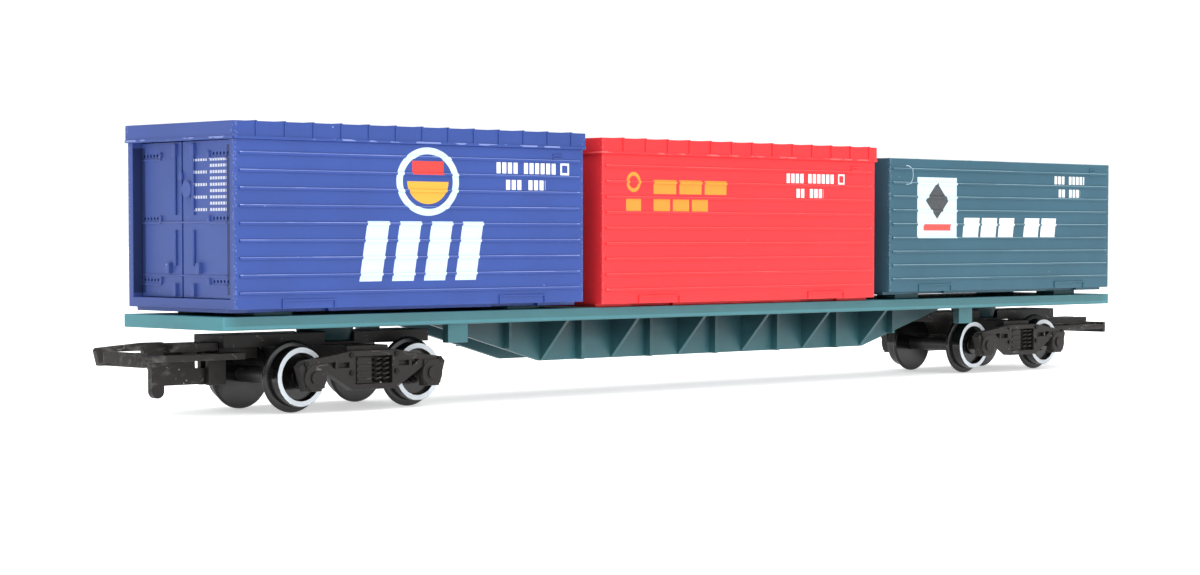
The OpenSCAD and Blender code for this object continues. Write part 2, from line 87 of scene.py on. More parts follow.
def roundEdges(piece, width, segments=2, angle=30, roomNeeded=2.1):
    # rounds the outer edges, apart from those whose ends have no room for it
    pick(piece)
    shape = bmesh.new()
    shape.from_mesh(piece.data)
    room = {v.index: min(e.calc_length() for e in v.link_edges) for v in shape.verts}
    chosen = [
        e.index for e in shape.edges
        if e.is_convex and e.calc_face_angle(0) > math.radians(angle)
        and min(room[v.index] for v in e.verts) > roomNeeded * width * mm
    ]
    shape.free()
    for group in (piece.data.vertices, piece.data.edges, piece.data.polygons):
        for element in group:
            element.select = False
    for index in chosen:
        piece.data.edges[index].select = True
    bpy.ops.object.mode_set(mode="EDIT")
    bpy.ops.mesh.select_mode(type="EDGE")
    bpy.ops.mesh.bevel(offset=width * mm, segments=segments, affect="EDGES", clamp_overlap=False)
    bpy.ops.object.mode_set(mode="OBJECT")


def joined(pieces, name):
    deselectAll()
    for piece in pieces:
        piece.select_set(True)
    bpy.context.view_layer.objects.active = pieces[0]
    if len(pieces) > 1:
        bpy.ops.object.join()
    piece = bpy.context.object
    piece.name = piece.data.name = name
    bpy.ops.object.transform_apply(location=True, rotation=True, scale=True)
    return piece


def smooth(piece, angle=35):
    pick(piece)
    bpy.ops.object.shade_smooth_by_angle(angle=math.radians(angle))
    flats = piece.modifiers.new("flats", "WEIGHTED_NORMAL")
    flats.keep_sharp = True
    flats.weight = 50
    applyModifiers(piece)


def hand(piece, body, material, replaced=()):
    piece.data.materials.clear()
    piece.data.materials.append(material)
    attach(piece, body)
    if replaced:
        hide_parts(*replaced)


# materials

def tone(red, green, blue):
    # a screen colour as the linear one that Blender's shaders take
    return tuple(((c / 255 + 0.055) / 1.055) ** 2.4 for c in (red, green, blue)) + (1.0,)


class Wire:
    # one socket of a finish: Python's operators on it add Math nodes
    def __init__(self, finish, socket):
        self.finish = finish
        self.socket = socket

    def maths(self, operation, other=None, flipped=False):
        pair = [other, self] if flipped else [self, other]
        return self.finish.node("ShaderNodeMath", {"operation": operation}, dict(enumerate(pair)))

    def __add__(self, other):
        return self.maths("ADD", other)

    def __radd__(self, other):
        return self.maths("ADD", other)

    def __sub__(self, other):
        return self.maths("SUBTRACT", other)

    def __rsub__(self, other):
        return self.maths("SUBTRACT", other, True)

    def __mul__(self, other):
        return self.maths("MULTIPLY", other)

    def __rmul__(self, other):
        return self.maths("MULTIPLY", other)

    def __truediv__(self, other):
        return self.maths("DIVIDE", other)

    def __mod__(self, other):
        return self.maths("FLOORED_MODULO", other)

    def __gt__(self, other):
        return self.maths("GREATER_THAN", other)

    def __lt__(self, other):
        return self.maths("LESS_THAN", other)

    def __or__(self, other):
        return self.maths("MAXIMUM", other)

    def __and__(self, other):
        return self.maths("MINIMUM", other)

    def __abs__(self):
        return self.maths("ABSOLUTE")

    def length(self, other):
        return (self * self + other * other).maths("SQRT")

    def between(self, low, high):
        return (self > low) & (self < high)

    def ramp(self, low, high):
        return self.finish.node(
            "ShaderNodeMapRange", {"interpolation_type": "SMOOTHSTEP"},
            {"Value": self, "From Min": low, "From Max": high})


class Finish:
    # a material whose lengths are millimetres in the wagon's own frame
    def __init__(self, name):
        self.material = bpy.data.materials.new(name)
        self.material.use_nodes = True
        self.tree = self.material.node_tree
        self.tree.nodes.clear()
        self.shader = self.tree.nodes.new("ShaderNodeBsdfPrincipled")
        ending = self.tree.nodes.new("ShaderNodeOutputMaterial")
        self.tree.links.new(self.shader.outputs[0], ending.inputs[0])
        metres = self.node("ShaderNodeTexCoord", output="Object")
        self.place = self.node("ShaderNodeVectorMath", {"operation": "SCALE"}, {0: metres, "Scale": 1 / mm})
        split = self.node("ShaderNodeSeparateXYZ", {}, {0: self.place}).socket.node
        self.x, self.y, self.z = [Wire(self, socket) for socket in split.outputs]

    def node(self, kind, settings=None, inputs=None, output=0):
        made = self.tree.nodes.new(kind)
        for key, value in (settings or {}).items():
            setattr(made, key, value)
        for key, value in (inputs or {}).items():
            if isinstance(value, Wire):
                self.tree.links.new(value.socket, made.inputs[key])
            elif value is not None:
                made.inputs[key].default_value = value
        return Wire(self, made.outputs[output])

    def mix(self, share, below, above):
        return self.node("ShaderNodeMix", {"data_type": "RGBA"}, {0: share, 6: below, 7: above}, 2)

    def noise(self, size, detail=2, stretch=(1, 1, 1), seed=0):
        placing = {"Vector": self.place, "Scale": stretch, "Location": (seed,) * 3}
        place = self.node("ShaderNodeMapping", {}, placing)
        return self.node("ShaderNodeTexNoise", {}, {"Vector": place, "Scale": 1 / size, "Detail": detail})

    def specks(self, pitch, radius, seed=0):
        place = self.node("ShaderNodeMapping", {}, {"Vector": self.place, "Location": (seed,) * 3})
        near = self.node("ShaderNodeTexVoronoi", {}, {"Vector": place, "Scale": 1 / pitch})
        return near < self.noise(pitch * 3, 1, seed=seed) * (2 * radius / pitch)

    def scratches(self, size, width, stretch, share, seed=0, patchSize=1.7):
        line = abs(self.noise(size, 1, stretch, seed) - 0.5) < width
        return line & (self.noise(size * patchSize, 2, seed=seed + 7) > 1 - share)

    def relief(self, height, depth):
        return self.node("ShaderNodeBump", {}, {"Strength": 1.0, "Distance": depth * mm, "Height": height})

    def done(self, colour, roughness, normal, **constants):
        for key, value in (("Base Color", colour), ("Roughness", roughness), ("Normal", normal)):
            self.tree.links.new(value.socket, self.shader.inputs[key])
        for key, value in constants.items():
            self.shader.inputs[key.replace("_", " ")].default_value = value
        return self.material


plasticLook = {
    "cloudSize": 14, "cloudRamp": (0.32, 0.68), "cloudDepth": 0.05, "dustPitch": 5.5, "dustRadius": 0.12,
    "roughSize": 2.4, "rough": (0.36, 0.5), "grainSize": 0.5, "grainDepth": 0.004,
    "wavePitch": 9, "waveDepth": 0.03,
}


def plasticBase(finish, colour, look, seed):
    cloud = finish.noise(look["cloudSize"], 3, seed=seed).ramp(*look["cloudRamp"])
    pale = tuple(min(1, c * (1 + look["cloudDepth"])) for c in colour[:3]) + (1,)
    deep = tuple(c * (1 - look["cloudDepth"]) for c in colour[:3]) + (1,)
    base = finish.mix(cloud, deep, pale)
    dust = finish.specks(look["dustPitch"], look["dustRadius"], seed)
    low, high = look["rough"]
    roughness = finish.noise(look["roughSize"], 3, seed=seed + 3) * (high - low) + low
    grain = finish.noise(look["grainSize"], 2) * look["grainDepth"]
    height = grain + finish.noise(look["wavePitch"], 1) * look["waveDepth"]
    return base, dust, roughness, height


# printed marks: plain blocks, rings and bands; u runs along a side as its reader sees it

codePrint = {"pitch": 1.38, "fill": 0.98, "drop": 2.95, "lowerHeight": 1.8}


def block(u, z, left, right, low, high, lean=0.0):
    across = u - (z - low) * lean if lean else u
    return across.between(left, right) & z.between(low, high)


def row(u, z, left, right, low, high, pitch, fill, lean=0.0):
    across = u - (z - low) * lean if lean else u
    return block(u, z, left, right, low, high, lean) & (((across - left) % pitch) < fill)


def outline(u, z, left, right, low, high, line):
    inner = block(u, z, left + line, right - line, low + line, high - line)
    return block(u, z, left, right, low, high) & (1 - inner)


def codeRows(u, z, left, low, height, upper, lower):
    rows = [(group, low, low + height) for group in upper]
    under = low - codePrint["drop"]
    rows += [(group, under, under + codePrint["lowerHeight"]) for group in lower]
    mask = None
    for (start, end), bottom, top in rows:
        part = row(u, z, left + start, left + end, bottom, top, codePrint["pitch"], codePrint["fill"])
        mask = part if mask is None else mask | part
    return mask


# ink colours for the marks; the last two are painted light, not print: a sheen for the container ends and black
# for painted shade
printsAndPaintedLight = {
    "white": tone(205, 228, 240), "snow": tone(240, 243, 245), "yellow": tone(228, 168, 44),
    "gold": tone(226, 146, 44), "red": tone(214, 60, 44), "ink": tone(48, 44, 44),
    "endSheenTone": tone(128, 132, 152), "shade": (0, 0, 0, 1),
}

blueSigns = {
    "ring": {"middle": (2, 40), "radii": (7.2, 6), "band": (0.8, 1.0), "core": 0.66},
    "bar": (-1.6, 5.6, 41.2, 43.6),
    "slabs": {"left": -13.5, "right": 15, "low": 22.6, "high": 33, "pitch": 7.25, "fill": 4.9, "lean": 0.18},
    "code": {
        "left": 18.2, "low": 41.75, "height": 2.0,
        "upper": [(0, 5.3), (6.7, 14.8)], "lower": [(2.3, 6.3), (7.8, 12)],
    },
    "frame": (34, 36.2, 41.65, 43.85, 0.4),
}


def blueMarks(u, z):
    ring = blueSigns["ring"]
    (middleU, middleZ), (wide, tall) = ring["middle"], ring["radii"]
    reach = ((u - middleU) / wide).length((z - middleZ) / tall)
    code = codeRows(u, z, **blueSigns["code"]) | outline(u, z, *blueSigns["frame"])
    return [
        (reach.between(*ring["band"]), printsAndPaintedLight["white"]),
        (reach.between(0, ring["core"]) & (z < middleZ), printsAndPaintedLight["yellow"]),
        (block(u, z, *blueSigns["bar"]), printsAndPaintedLight["red"]),
        (row(u, z, **blueSigns["slabs"]), printsAndPaintedLight["white"]),
        (code, printsAndPaintedLight["snow"]),
    ]


redSigns = {
    "ring": {"middle": (-31.4, 40.7), "band": (1.2, 1.9)},
    "upper": {"left": -26, "right": -5.2, "low": 38.5, "high": 41.2, "pitch": 7.1, "fill": 6.2},
    "lower": {"left": -26, "right": -10.7, "low": 35.2, "high": 37.5, "pitch": 5.3, "fill": 4.5},
    "tab": (-33.4, -29.4, 35.2, 37.5),
    "code": {
        "left": 12.2, "low": 41.15, "height": 1.9,
        "upper": [(0, 5.3), (6.6, 14.6)], "lower": [(3, 5.6), (7.1, 11.3)],
    },
    "frame": (28.1, 30.1, 41.05, 43.15, 0.35),
}


def redMarks(u, z):
    middleU, middleZ = redSigns["ring"]["middle"]
    ring = (u - middleU).length(z - middleZ).between(*redSigns["ring"]["band"])
    bands = row(u, z, **redSigns["upper"]) | row(u, z, **redSigns["lower"])
    code = codeRows(u, z, **redSigns["code"]) | outline(u, z, *redSigns["frame"])
    return [
        (ring | bands | block(u, z, *redSigns["tab"]), printsAndPaintedLight["gold"]),
        (code, printsAndPaintedLight["snow"]),
    ]


greenSigns = {
    "panel": (-30.5, -17, 30, 43),
    "diamond": {"middle": (-23.75, 38), "half": 3.9},
    "bar": (-28.4, -19.1, 31.6, 33),
    "words": [(-14.9, 3.4), (7, 18.7)],
    "wordRow": {"low": 30.2, "high": 34.4, "pitch": 6.3, "fill": 5.4, "lean": 0.15},
    "code": {
        "left": 18.7, "low": 42.15, "height": 1.8,
        "upper": [(0, 4), (5.5, 11.4)], "lower": [(1.6, 4.2), (5.6, 9.8)],
    },
}


def greenMarks(u, z):
    middleU, middleZ = greenSigns["diamond"]["middle"]
    diamond = abs(u - middleU) + abs(z - middleZ) < greenSigns["diamond"]["half"]
    first, second = [row(u, z, left, right, **greenSigns["wordRow"]) for left, right in greenSigns["words"]]
    return [
        (block(u, z, *greenSigns["panel"]), printsAndPaintedLight["white"]),
        (diamond, printsAndPaintedLight["ink"]),
        (block(u, z, *greenSigns["bar"]), printsAndPaintedLight["red"]),
        (first | second | codeRows(u, z, **greenSigns["code"]), printsAndPaintedLight["snow"]),
    ]


# containers: one finish each, with its print, worn rails and chipped corners, painted highlights along the rail
# crests, at the rail ends and on the lid's top edge, a painted sheen on the end faces and painted shade in the
# end recess

boxLooks = {
    "blue": {
        "tone": tone(44, 71, 144), "middle": -84.5, "floor": 18.2, "topNode": "lid_blue", "lidHeight": 3,
        "lidShade": 0.1, "marks": blueMarks, "doorPrint": True, "endSheen": 0.12, "wornAndHighlit": tone(160, 175, 230),
        "wornShare": 0.42, "seed": 3,
    },
    "red": {
        "tone": tone(224, 44, 50), "middle": 0, "floor": 17.6, "topNode": "lid_red", "lidHeight": 3,
        "lidShade": 0.05, "marks": redMarks, "doorPrint": False, "endSheen": 0, "wornAndHighlit": tone(250, 120, 118),
        "wornShare": 0.35, "seed": 11,
    },
    "green": {
        "tone": tone(46, 88, 105), "middle": 84.5, "floor": 18.6, "topNode": "container_green",
        "lidHeight": None, "lidShade": 0, "marks": greenMarks, "doorPrint": False, "endSheen": 0,
        "wornAndHighlit": tone(160, 188, 196), "wornShare": 0.6, "seed": 23,
        "hair": {"middle": (50.6, 43.4), "band": (1.9, 2.05), "fromX": 50.2, "mix": 0.7},
    },
}
boxSizes = {
    "halfLength": 39.8, "halfWidth": 15.45, "bodyHeight": 28, "railFace": 0.19, "railPitch": 2.92,
    "railFirst": 2.65, "crestHighlight": (0.12, 0.3), "tipLength": 1.7, "cornerWidth": 0.5, "endDepth": 4,
    "recessHalf": 12.95, "recessFrom": 0.12, "recessHeights": (2.4, 27.4), "brimDepth": 0.13, "skirtDepth": 0.3,
    "lidOut": 0.2, "printDepth": 0.1,
}
# amounts of wear, and of the painted highlights and painted shade
boxWearAndPaintedLight = {
    "wornAndHighlit": 0.6, "crestHighlight": 0.36, "tipHighlights": 0.9, "chipped": 0.22, "brimHighlight": 0.3, "scuffed": 0.5,
    "recessShade": 0.62, "dust": 0.55, "smoother": 0.06, "printSize": 0.45, "printThin": 0.12,
    "wornSize": 1.6, "tipSize": 2, "chipSize": 0.45, "brimSize": 1.2, "skirtSize": 1.1,
    "tipShare": 0.5, "chipShare": 0.42, "brimShare": 0.55, "skirtShare": 0.46,
    "wornStretch": (0.06, 1, 1), "brimStretch": (0.15, 1, 1), "skirtStretch": (0.3, 0.3, 1),
}
doorPrint = {
    "left": 3.2, "right": 12.8, "low": 34.6, "high": 43.4, "split": (3.6, 4.6), "pitch": 0.8,
    "fills": (0.55, 0.58), "lineGaps": (2.1, 1.05), "line": 0.5, "mix": 0.62, "depth": 1.2,
    "wobble": 0.06, "wobbleSize": 1.1, "scuffMiddle": (7, 26), "scuffReach": 4.4, "scuffRagged": 1.2,
    "scuffPitch": 0.55, "scuffRadius": 0.16, "scuffMix": 0.6,
}


def patches(finish, size, share, stretch=(1, 1, 1), seed=0, detail=3):
    return finish.noise(size, detail, stretch, seed) > 1 - share


def wearAndPaintedLight(finish, look, colour, endward, sideward):
    size, wearAndLight, z = boxSizes, boxWearAndPaintedLight, finish.z
    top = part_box(look["topNode"])[1].z / mm
    onRails = (sideward > size["halfWidth"] + size["railFace"]) & (z < look["floor"] + size["bodyHeight"])
    # a painted highlight along the upper edge of every rail, with worn patches laid on that band
    crestHighlight = onRails & ((z - look["floor"] - size["railFirst"]) % size["railPitch"]).between(*size["crestHighlight"])
    wornAndHighlit = crestHighlight & patches(finish, wearAndLight["wornSize"], look["wornShare"], wearAndLight["wornStretch"], look["seed"])
    # painted highlights at the rail ends
    tipHighlights = crestHighlight & (endward > size["halfLength"] - size["tipLength"])
    tipHighlights = tipHighlights & patches(finish, wearAndLight["tipSize"], wearAndLight["tipShare"], seed=14, detail=1)
    corner = endward > size["halfLength"] - size["cornerWidth"]
    corner = corner & (sideward > size["halfWidth"] - size["cornerWidth"])
    chipped = corner & patches(finish, wearAndLight["chipSize"], wearAndLight["chipShare"], seed=5)
    # painted highlight along the lid's top edge, broken into patches
    brimHighlight = patches(finish, wearAndLight["brimSize"], wearAndLight["brimShare"], wearAndLight["brimStretch"], 2)
    brimHighlight = brimHighlight & (z > top - size["brimDepth"])
    # these paler marks mix real wear (worn patches, chipped corners, lid skirt scuffs) with the painted
    # highlights
    lightenedPatches = (wornAndHighlit * wearAndLight["wornAndHighlit"]) | (crestHighlight * wearAndLight["crestHighlight"]) | (tipHighlights * wearAndLight["tipHighlights"])
    lightenedPatches = lightenedPatches | (chipped * wearAndLight["chipped"]) | (brimHighlight * wearAndLight["brimHighlight"])
    if look["lidHeight"]:
        lidLow = top - look["lidHeight"]
        skirt = z.between(lidLow, lidLow + size["skirtDepth"])
        scuffed = skirt & patches(finish, wearAndLight["skirtSize"], wearAndLight["skirtShare"], wearAndLight["skirtStretch"], 4)
        lightenedPatches = lightenedPatches | (scuffed * wearAndLight["scuffed"])
    colour = finish.mix(lightenedPatches, colour, look["wornAndHighlit"])
    # the end faces are painted paler and greyer, a painted sheen for how light falls on them
    ends = (endward > size["halfLength"] - size["endDepth"]) & (sideward < size["halfWidth"])
    colour = finish.mix(ends * look["endSheen"], colour, printsAndPaintedLight["endSheenTone"])
    # painted shade on the inner faces of the end recess
    recessShade = ends & (endward < size["halfLength"] - size["recessFrom"]) & (sideward > size["recessHalf"])
    recessShade = recessShade & z.between(*[look["floor"] + height for height in size["recessHeights"]])
    colour = finish.mix(recessShade & wearAndLight["recessShade"], colour, printsAndPaintedLight["shade"])
    if look["lidHeight"]:
        lidSide = (z > lidLow) & (sideward > size["halfWidth"] + size["lidOut"])
        colour = finish.mix(lidSide * look["lidShade"], colour, printsAndPaintedLight["shade"])
    return colour


def doorColour(finish, look, colour):
    plate = doorPrint
    wobble = (finish.noise(plate["wobbleSize"], 2) - 0.5) * plate["wobble"]
    v = wobble - finish.y
    z = finish.z
    left, right, low, high = [plate[key] for key in ("left", "right", "low", "high")]
    (narrow, wide), (lineEnd, figureStart) = plate["fills"], plate["split"]
    lineGap, figureGap = plate["lineGaps"]
    lines = row(v, z, left, left + lineEnd, low, high, plate["pitch"], narrow)
    lines = lines & (((z - low) % lineGap) < plate["line"])
    figures = row(v, z, left + figureStart, right, low, high, plate["pitch"], wide)
    figures = figures & (((z - low) % figureGap) < plate["line"])
    door = look["middle"] - finish.x > boxSizes["halfLength"] - plate["depth"]
    colour = finish.mix((lines | figures) & door & plate["mix"], colour, printsAndPaintedLight["snow"])
    scuffY, scuffZ = plate["scuffMiddle"]
    ragged = finish.noise(plate["scuffRagged"], 3) * plate["scuffReach"]
    patch = (finish.y - scuffY).length(z - scuffZ) < ragged
    scuff = finish.specks(plate["scuffPitch"], plate["scuffRadius"], 9) & patch & door
    return finish.mix(scuff * plate["scuffMix"], colour, look["wornAndHighlit"])


def containerFinish(name, look):
    finish = Finish(name)
    colour, dust, roughness, height = plasticBase(finish, look["tone"], plasticLook, look["seed"])
    fromMiddle = finish.x - look["middle"]
    sideward = abs(finish.y)
    colour = wearAndPaintedLight(finish, look, colour, abs(fromMiddle), sideward)
    sideFace = sideward > boxSizes["halfWidth"] - boxSizes["printDepth"]
    thin = finish.noise(boxWearAndPaintedLight["printSize"], 2) * boxWearAndPaintedLight["printThin"] + (1 - boxWearAndPaintedLight["printThin"])
    for mask, paint in look["marks"](fromMiddle * ((finish.y < 0) * 2 - 1), finish.z):
        colour = finish.mix(mask & sideFace & thin, colour, paint)
        roughness = roughness - mask * sideFace * boxWearAndPaintedLight["smoother"]
    if look["doorPrint"]:
        colour = doorColour(finish, look, colour)
    colour = finish.mix(dust * boxWearAndPaintedLight["dust"], colour, look["wornAndHighlit"])
    if "hair" in look:
        hair = look["hair"]
        hairX, hairZ = hair["middle"]
        arc = (finish.x - hairX).length(finish.z - hairZ).between(*hair["band"]) & (finish.x > hair["fromX"])
        arc = arc & (finish.y < boxSizes["printDepth"] - boxSizes["halfWidth"])
        colour = finish.mix(arc * hair["mix"], colour, printsAndPaintedLight["white"])
    return finish.done(colour, roughness, finish.relief(height, 1.0), Specular_IOR_Level=0.35)


tealLook = {
    # the darker tone and the deep amounts paint shade under the deck; the edge amount paints a highlight along
    # its near lower edge and end faces
    "tone": tone(50, 102, 109), "endTone": tone(76, 148, 158), "pocketShadeTone": tone(24, 50, 56), "seed": 31,
    "glowX": (122, 127), "glow": 0.4, "underY": 13.2, "underZ": 15.7, "underX": 125.6, "shadeRiseZ": (6.5, 14.5),
    "deep": (0.15, 0.75), "edgeY": -12, "edgeZ": (14.9, 15.4), "endX": 125.9, "endDepth": 0.3, "edge": 0.35,
    "flowSize": 7, "flowRamp": (0.55, 0.8), "flow": 0.2, "dust": 0.5, "dustTone": tone(200, 225, 228),
}


def tealFinish():
    finish = Finish("teal_moulding")
    look = tealLook
    colour, dust, roughness, height = plasticBase(finish, look["tone"], plasticLook, look["seed"])
    endward, z = abs(finish.x), finish.z
    colour = finish.mix(endward.ramp(*look["glowX"]) * look["glow"], colour, look["endTone"])
    # painted shade under the deck, darker towards the top of the pockets
    under = (abs(finish.y) < look["underY"]) & (z < look["underZ"]) & (endward < look["underX"])
    least, more = look["deep"]
    colour = finish.mix(under * (z.ramp(*look["shadeRiseZ"]) * more + least), colour, look["pocketShadeTone"])
    # painted highlight along the deck's near lower edge and on its end faces
    lowEdgeHighlight = (finish.y < look["edgeY"]) & z.between(*look["edgeZ"])
    edge = lowEdgeHighlight | (abs(endward - look["endX"]) < look["endDepth"])
    colour = finish.mix(edge * look["edge"], colour, look["endTone"])
    flow = finish.noise(look["flowSize"], 2, (0.25, 1, 1), 4).ramp(*look["flowRamp"])
    colour = finish.mix(flow * look["flow"], colour, look["endTone"])
    colour = finish.mix(dust * look["dust"], colour, look["dustTone"])
    return finish.done(
        colour, roughness, finish.relief(height, 1.0), Specular_IOR_Level=0.5, Subsurface_Weight=0.08,
        Subsurface_Radius=(0.0006, 0.0012, 0.0012), Subsurface_Scale=1.0)


darkLook = {
    "tone": tone(33, 30, 29), "seed": 41, "pivotX": 93.6, "halfBase": 13, "sideFace": 13.75,
    "bolts": [(5, 9.9), (5, 6.8), (14.9, 8.7)], "boltRadius": 0.5, "boltHoleShade": tone(3, 3, 3),
    "couplingX": (118, 130), "rubSize": 1.3, "rubRamp": (0.5, 0.75), "rub": 0.25, "rubRough": 0.12,
    "rubTone": tone(150, 146, 140),
    "chipPitch": 1.7, "chipRadius": 0.12, "chipFrom": 0.15, "chip": 0.4, "chipTone": tone(190, 186, 180),
    "line": 0.35, "lineTone": tone(140, 136, 130), "dust": 0.4, "dustTone": tone(165, 160, 154),
}


def darkFinish():
    finish = Finish("dark_moulding")
    look = darkLook
    colour, dust, roughness, height = plasticBase(finish, look["tone"], plasticLook, look["seed"])
    fromPivot = abs(abs(finish.x) - look["pivotX"])
    outer = abs(finish.y) > look["sideFace"]
    # the bolts on the outer faces are painted near black, painted shade for their holes
    for boltX, boltZ in look["bolts"]:
        boltShade = (fromPivot - boltX).length(finish.z - boltZ) < look["boltRadius"]
        colour = finish.mix(boltShade & outer, colour, look["boltHoleShade"])
    beyond = abs(finish.x).ramp(*look["couplingX"])
    lightenedPatches = finish.noise(look["rubSize"], 4, (0.5, 1, 1), 2).ramp(*look["rubRamp"]) * beyond
    colour = finish.mix(lightenedPatches * look["rub"], colour, look["rubTone"])
    chips = finish.specks(look["chipPitch"], look["chipRadius"], 6) & (beyond > look["chipFrom"])
    colour = finish.mix(chips * look["chip"], colour, look["chipTone"])
    lines = finish.scratches(size=1.6, width=0.008, stretch=(0.3, 1, 1), share=0.42, seed=3)
    colour = finish.mix(lines * look["line"], colour, look["lineTone"])
    colour = finish.mix(dust * look["dust"], colour, look["dustTone"])
    roughness = roughness + lightenedPatches * look["rubRough"]
    return finish.done(colour, roughness, finish.relief(height, 1.0), Specular_IOR_Level=0.25)


wheelLook = {
    "tone": tone(13, 12, 12), "seed": 51, "rough": (0.14, 0.26), "dust": 0.3, "dustTone": tone(120, 118, 114),
    "rim": (4.2, 5.07), "face": 9.9, "axleZ": 6.25, "paint": tone(214, 221, 227),
    "thinPaint": tone(150, 156, 164), "paintWobble": 0.16, "wobbleSize": 0.7, "thinSize": 0.6,
    "thinRamp": (0.18, 0.34), "streakSize": 1.1, "streak": 0.16, "paintRough": 0.22,
}


def wheelFinish():
    finish = Finish("wheel_moulding")
    look = wheelLook
    base = {**plasticLook, "rough": look["rough"]}
    colour, dust, roughness, height = plasticBase(finish, look["tone"], base, look["seed"])
    fromAxle = abs(abs(abs(finish.x) - darkLook["pivotX"]) - darkLook["halfBase"])
    wobble = (finish.noise(look["wobbleSize"], 2) - 0.5) * look["paintWobble"]
    radius = fromAxle.length(finish.z - look["axleZ"]) + wobble
    ring = radius.between(*look["rim"]) & (abs(finish.y) > look["face"])
    thin = finish.noise(look["thinSize"], 3, seed=8).ramp(*look["thinRamp"]) * 0.5 + 0.5
    streak = finish.noise(look["streakSize"], 3, seed=12) * look["streak"]
    colour = finish.mix(dust * look["dust"], colour, look["dustTone"])
    colour = finish.mix(ring & thin, colour, finish.mix(streak, look["paint"], look["thinPaint"]))
    roughness = roughness + ring * look["paintRough"]
    return finish.done(colour, roughness, finish.relief(height, 1.0), Specular_IOR_Level=0.5)


plainLook = {"dust": 0.3, "dustTone": tone(150, 146, 140), "line": 0.3, "lineTone": tone(150, 148, 144)}


def plainFinish(name, colour, rough, seed, metallic=0.0):
    finish = Finish(name)
    base, dust, roughness, height = plasticBase(finish, colour, {**plasticLook, "rough": rough}, seed)
    base = finish.mix(dust * plainLook["dust"], base, plainLook["dustTone"])
    lines = finish.scratches(size=1.2, width=0.01, stretch=(1, 0.25, 1), share=0.4, seed=seed)
    base = finish.mix(lines * plainLook["line"], base, plainLook["lineTone"])
    return finish.done(base, roughness, finish.relief(height, 1.0), Metallic=metallic)


finishes = {name: containerFinish(name + "_moulding", look) for name, look in boxLooks.items()}
finishes["teal"] = tealFinish()
finishes["dark"] = darkFinish()
finishes["wheel"] = wheelFinish()
finishes["axle"] = plainFinish("axle_moulding", tone(30, 28, 28), (0.28, 0.42), 61)
finishes["pin"] = plainFinish("pin_steel", tone(50, 48, 47), (0.3, 0.45), 71, 1.0)
print("materials made")


# mouldings: each CAD shape with its edges rounded as a mould leaves them

mouldings = [
    ("deck", "teal", 0.14), ("girder", "teal", 0.1), ("stop_blocks", "teal", 0.12),
    ("seat_pads", "teal", 0.1), ("swivel_boss", "teal", 0.12),
    ("container_blue", "blue", 0.1), ("doors_blue", "blue", 0.06), ("lid_blue", "blue", 0.09),
    ("container_red", "red", 0.1), ("doors_red", "red", 0.06), ("lid_red", "red", 0.09),
    ("container_green", "green", 0.1), ("doors_green", "green", 0.06),
    ("bogie_frame", "dark", 0.12), ("side_frame", "dark", 0.09), ("coupling", "dark", 0.1),
    ("hook_pin", "pin", 0.08), ("hook", "dark", 0.12), ("pivot_pin", "pin", 0.12),
    ("axle", "axle", 0.08), ("wheel", "wheel", 0.1),
]
pinSlot = {"size": (7, 0.8, 0.9), "z": 6.9}
copying = {"mergeGap": 0.001, "flatAngle": 0.6}


def mouldedCopy(node, finish, width):
    pick(frame["nodes"][node])
    bpy.ops.object.duplicate()
    piece = bpy.context.object
    bpy.ops.object.parent_clear(type="CLEAR_KEEP_TRANSFORM")
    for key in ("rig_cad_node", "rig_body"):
        del piece[key]
    piece.name = piece.data.name = node + "_moulded"
    bpy.ops.object.mode_set(mode="EDIT")
    bpy.ops.mesh.select_all(action="SELECT")
    bpy.ops.mesh.remove_doubles(threshold=copying["mergeGap"] * mm)
    bpy.ops.mesh.dissolve_limited(angle_limit=math.radians(copying["flatAngle"]))
    bpy.ops.object.mode_set(mode="OBJECT")
    bpy.ops.mesh.customdata_custom_splitnormals_clear()
    if node.startswith("pivot_pin"):
        cutPinSlot(piece, node)
    roundEdges(piece, width)
    smooth(piece)
    hand(piece, bodyOf[node], finishes[finish], [node])
    return piece


def cutPinSlot(piece, node):
    low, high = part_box(node)
    middle = (low + high) / 2
    bpy.ops.mesh.primitive_cube_add(size=1, location=(middle.x, middle.y, pinSlot["z"] * mm))
    cutter = bpy.context.object
    cutter.scale = [length * mm for length in pinSlot["size"]]
    cut = piece.modifiers.new("slot", "BOOLEAN")
    cut.object = cutter
    cut.solver = "EXACT"
    applyModifiers(piece)
    bpy.data.objects.remove(cutter)
    pick(piece)


for start, finish, width in mouldings:
    for node in sorted(frame["nodes"]):
        if node == start or (node.startswith(start + "_") and node != "hook_pin"):
            mouldedCopy(node, finish, width)
print("mouldings rounded")


# springs: wound coils beside a ribbed block, in each side frame's window

spring = {
    "coils": (1.3, 3.1), "wire": 0.19, "radius": 0.62, "turns": 5, "low": 4.85, "high": 9.55, "y": 13.1,
    "block": (-3.65, -0.3), "blockHalf": 0.55, "ribs": 4, "ribHeight": 0.5, "ribOut": 0.16, "ribShort": 0.3,
    "ribFirst": 0.6, "sides": 10, "steps": 18, "backing": (-0.4, 4.0, 12.3, 0.2),
    "round": {"block": 0.08, "rib": 0.07, "backing": 0.05},
}


